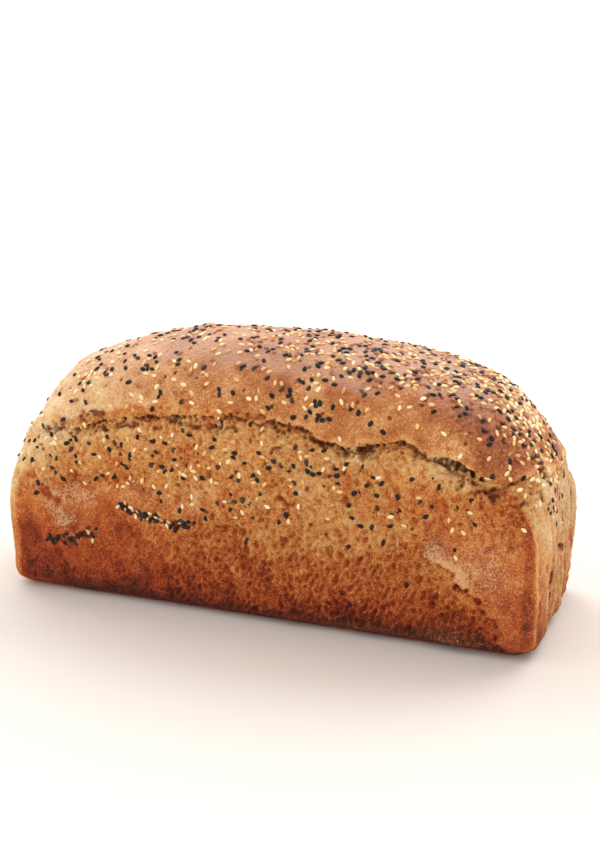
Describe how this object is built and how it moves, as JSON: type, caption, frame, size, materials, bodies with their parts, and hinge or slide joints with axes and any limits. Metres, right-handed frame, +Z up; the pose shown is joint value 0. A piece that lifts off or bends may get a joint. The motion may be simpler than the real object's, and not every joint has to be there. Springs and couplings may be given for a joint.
{
  "type": "seeded whole wheat bread",
  "caption": "Uncut whole wheat tin loaf: straight walls, a flat base and an arched dome over a torn crease, with pale and black sesame seeds on the crust.",
  "frame": {"origin": "middle of the underside's outline, on the surface the loaf stands on", "axes": "+Z up, X along the loaf, and -Y out of the long wall that counts as the front"},
  "size_m": [0.28, 0.101, 0.137],
  "materials": {
    "crust": "baked whole wheat crust: dry and matte, golden tan where it tore, red-brown on the dome, and dark at the foot",
    "pale_seeds": "hulled sesame seeds, ivory to toasted gold, with a soft satin surface",
    "black_seeds": "black sesame seeds, near black with a faint grey sheen"
  },
  "bodies": {
    "root": {"loaf": "crust"}
  },
  "joints": []
}
